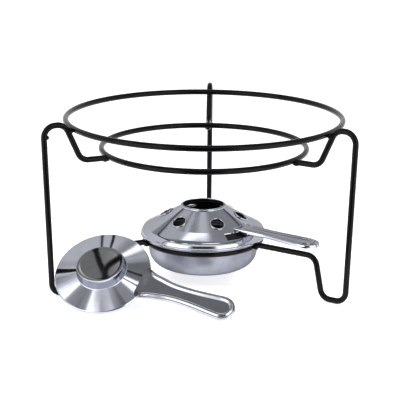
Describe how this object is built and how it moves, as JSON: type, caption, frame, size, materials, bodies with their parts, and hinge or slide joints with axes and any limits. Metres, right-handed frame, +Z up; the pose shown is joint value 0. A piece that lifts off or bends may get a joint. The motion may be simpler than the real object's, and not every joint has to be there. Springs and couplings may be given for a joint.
{
  "type": "fondue stand with spirit burner",
  "caption": "Round black wire stand for a fondue pot, with a domed steel spirit burner, a long regulator arm and a loose hat-shaped snuffer lid with a flat handle.",
  "frame": {"origin": "under the middle of the whole set's box, on the table; the stand's own axis is at x 0.00402, y -0.01198 m", "axes": "+Z is up, the stand's axis; -Y is the picture's front; +X is to the picture's right; the back leg is on +Y"},
  "size_m": [0.2436, 0.2532, 0.1418],
  "materials": {
    "black_wire": "satin to gloss black enamel over steel wire, with soft drips at the welds",
    "polished_steel": "mirror-bright pressed stainless steel, slightly blue-grey, fine lathe lines on the round pieces",
    "satin_steel": "drawn stainless steel, satin, with faint streaks round the wall",
    "gauze_steel": "plain-weave stainless wire cloth, a little darkened by heat",
    "white_wool": "soft off-white mineral wool"
  },
  "bodies": {
    "stand": {"upper_ring": "black_wire", "lower_ring": "black_wire", "burner_ring": "black_wire", "leg_right": "black_wire", "leg_back": "black_wire", "leg_left": "black_wire"},
    "burner": {"fuel_pan": "satin_steel", "wick_pad": "white_wool", "wick_gauze": "gauze_steel", "gauze_ring": "satin_steel"},
    "cover": {"burner_cover": "polished_steel", "cover_base_ring": "satin_steel"},
    "regulator": {"vent_shutter": "satin_steel", "regulator_handle": "polished_steel"},
    "snuffer": {"snuffer_cap": "polished_steel", "snuffer_handle": "polished_steel"}
  },
  "joints": [
    {"name": "burner_lift", "type": "slide", "parent": "stand", "child": "burner", "axis": [0, 0, 1], "range_m": [0, 0.03]},
    {"name": "cover_lift", "type": "slide", "parent": "burner", "child": "cover", "axis": [0, 0, 1], "range_m": [0, 0.022]},
    {"name": "regulator_turn", "type": "hinge", "parent": "cover", "child": "regulator", "pos_m": [0.00402, -0.01198, 0.05], "axis": [0, 0, 1], "range_deg": [-23, 0]},
    {"name": "snuffer_lift", "type": "slide", "parent": "stand", "child": "snuffer", "axis": [0, 0, 1], "range_m": [0, 0.04]}
  ]
}
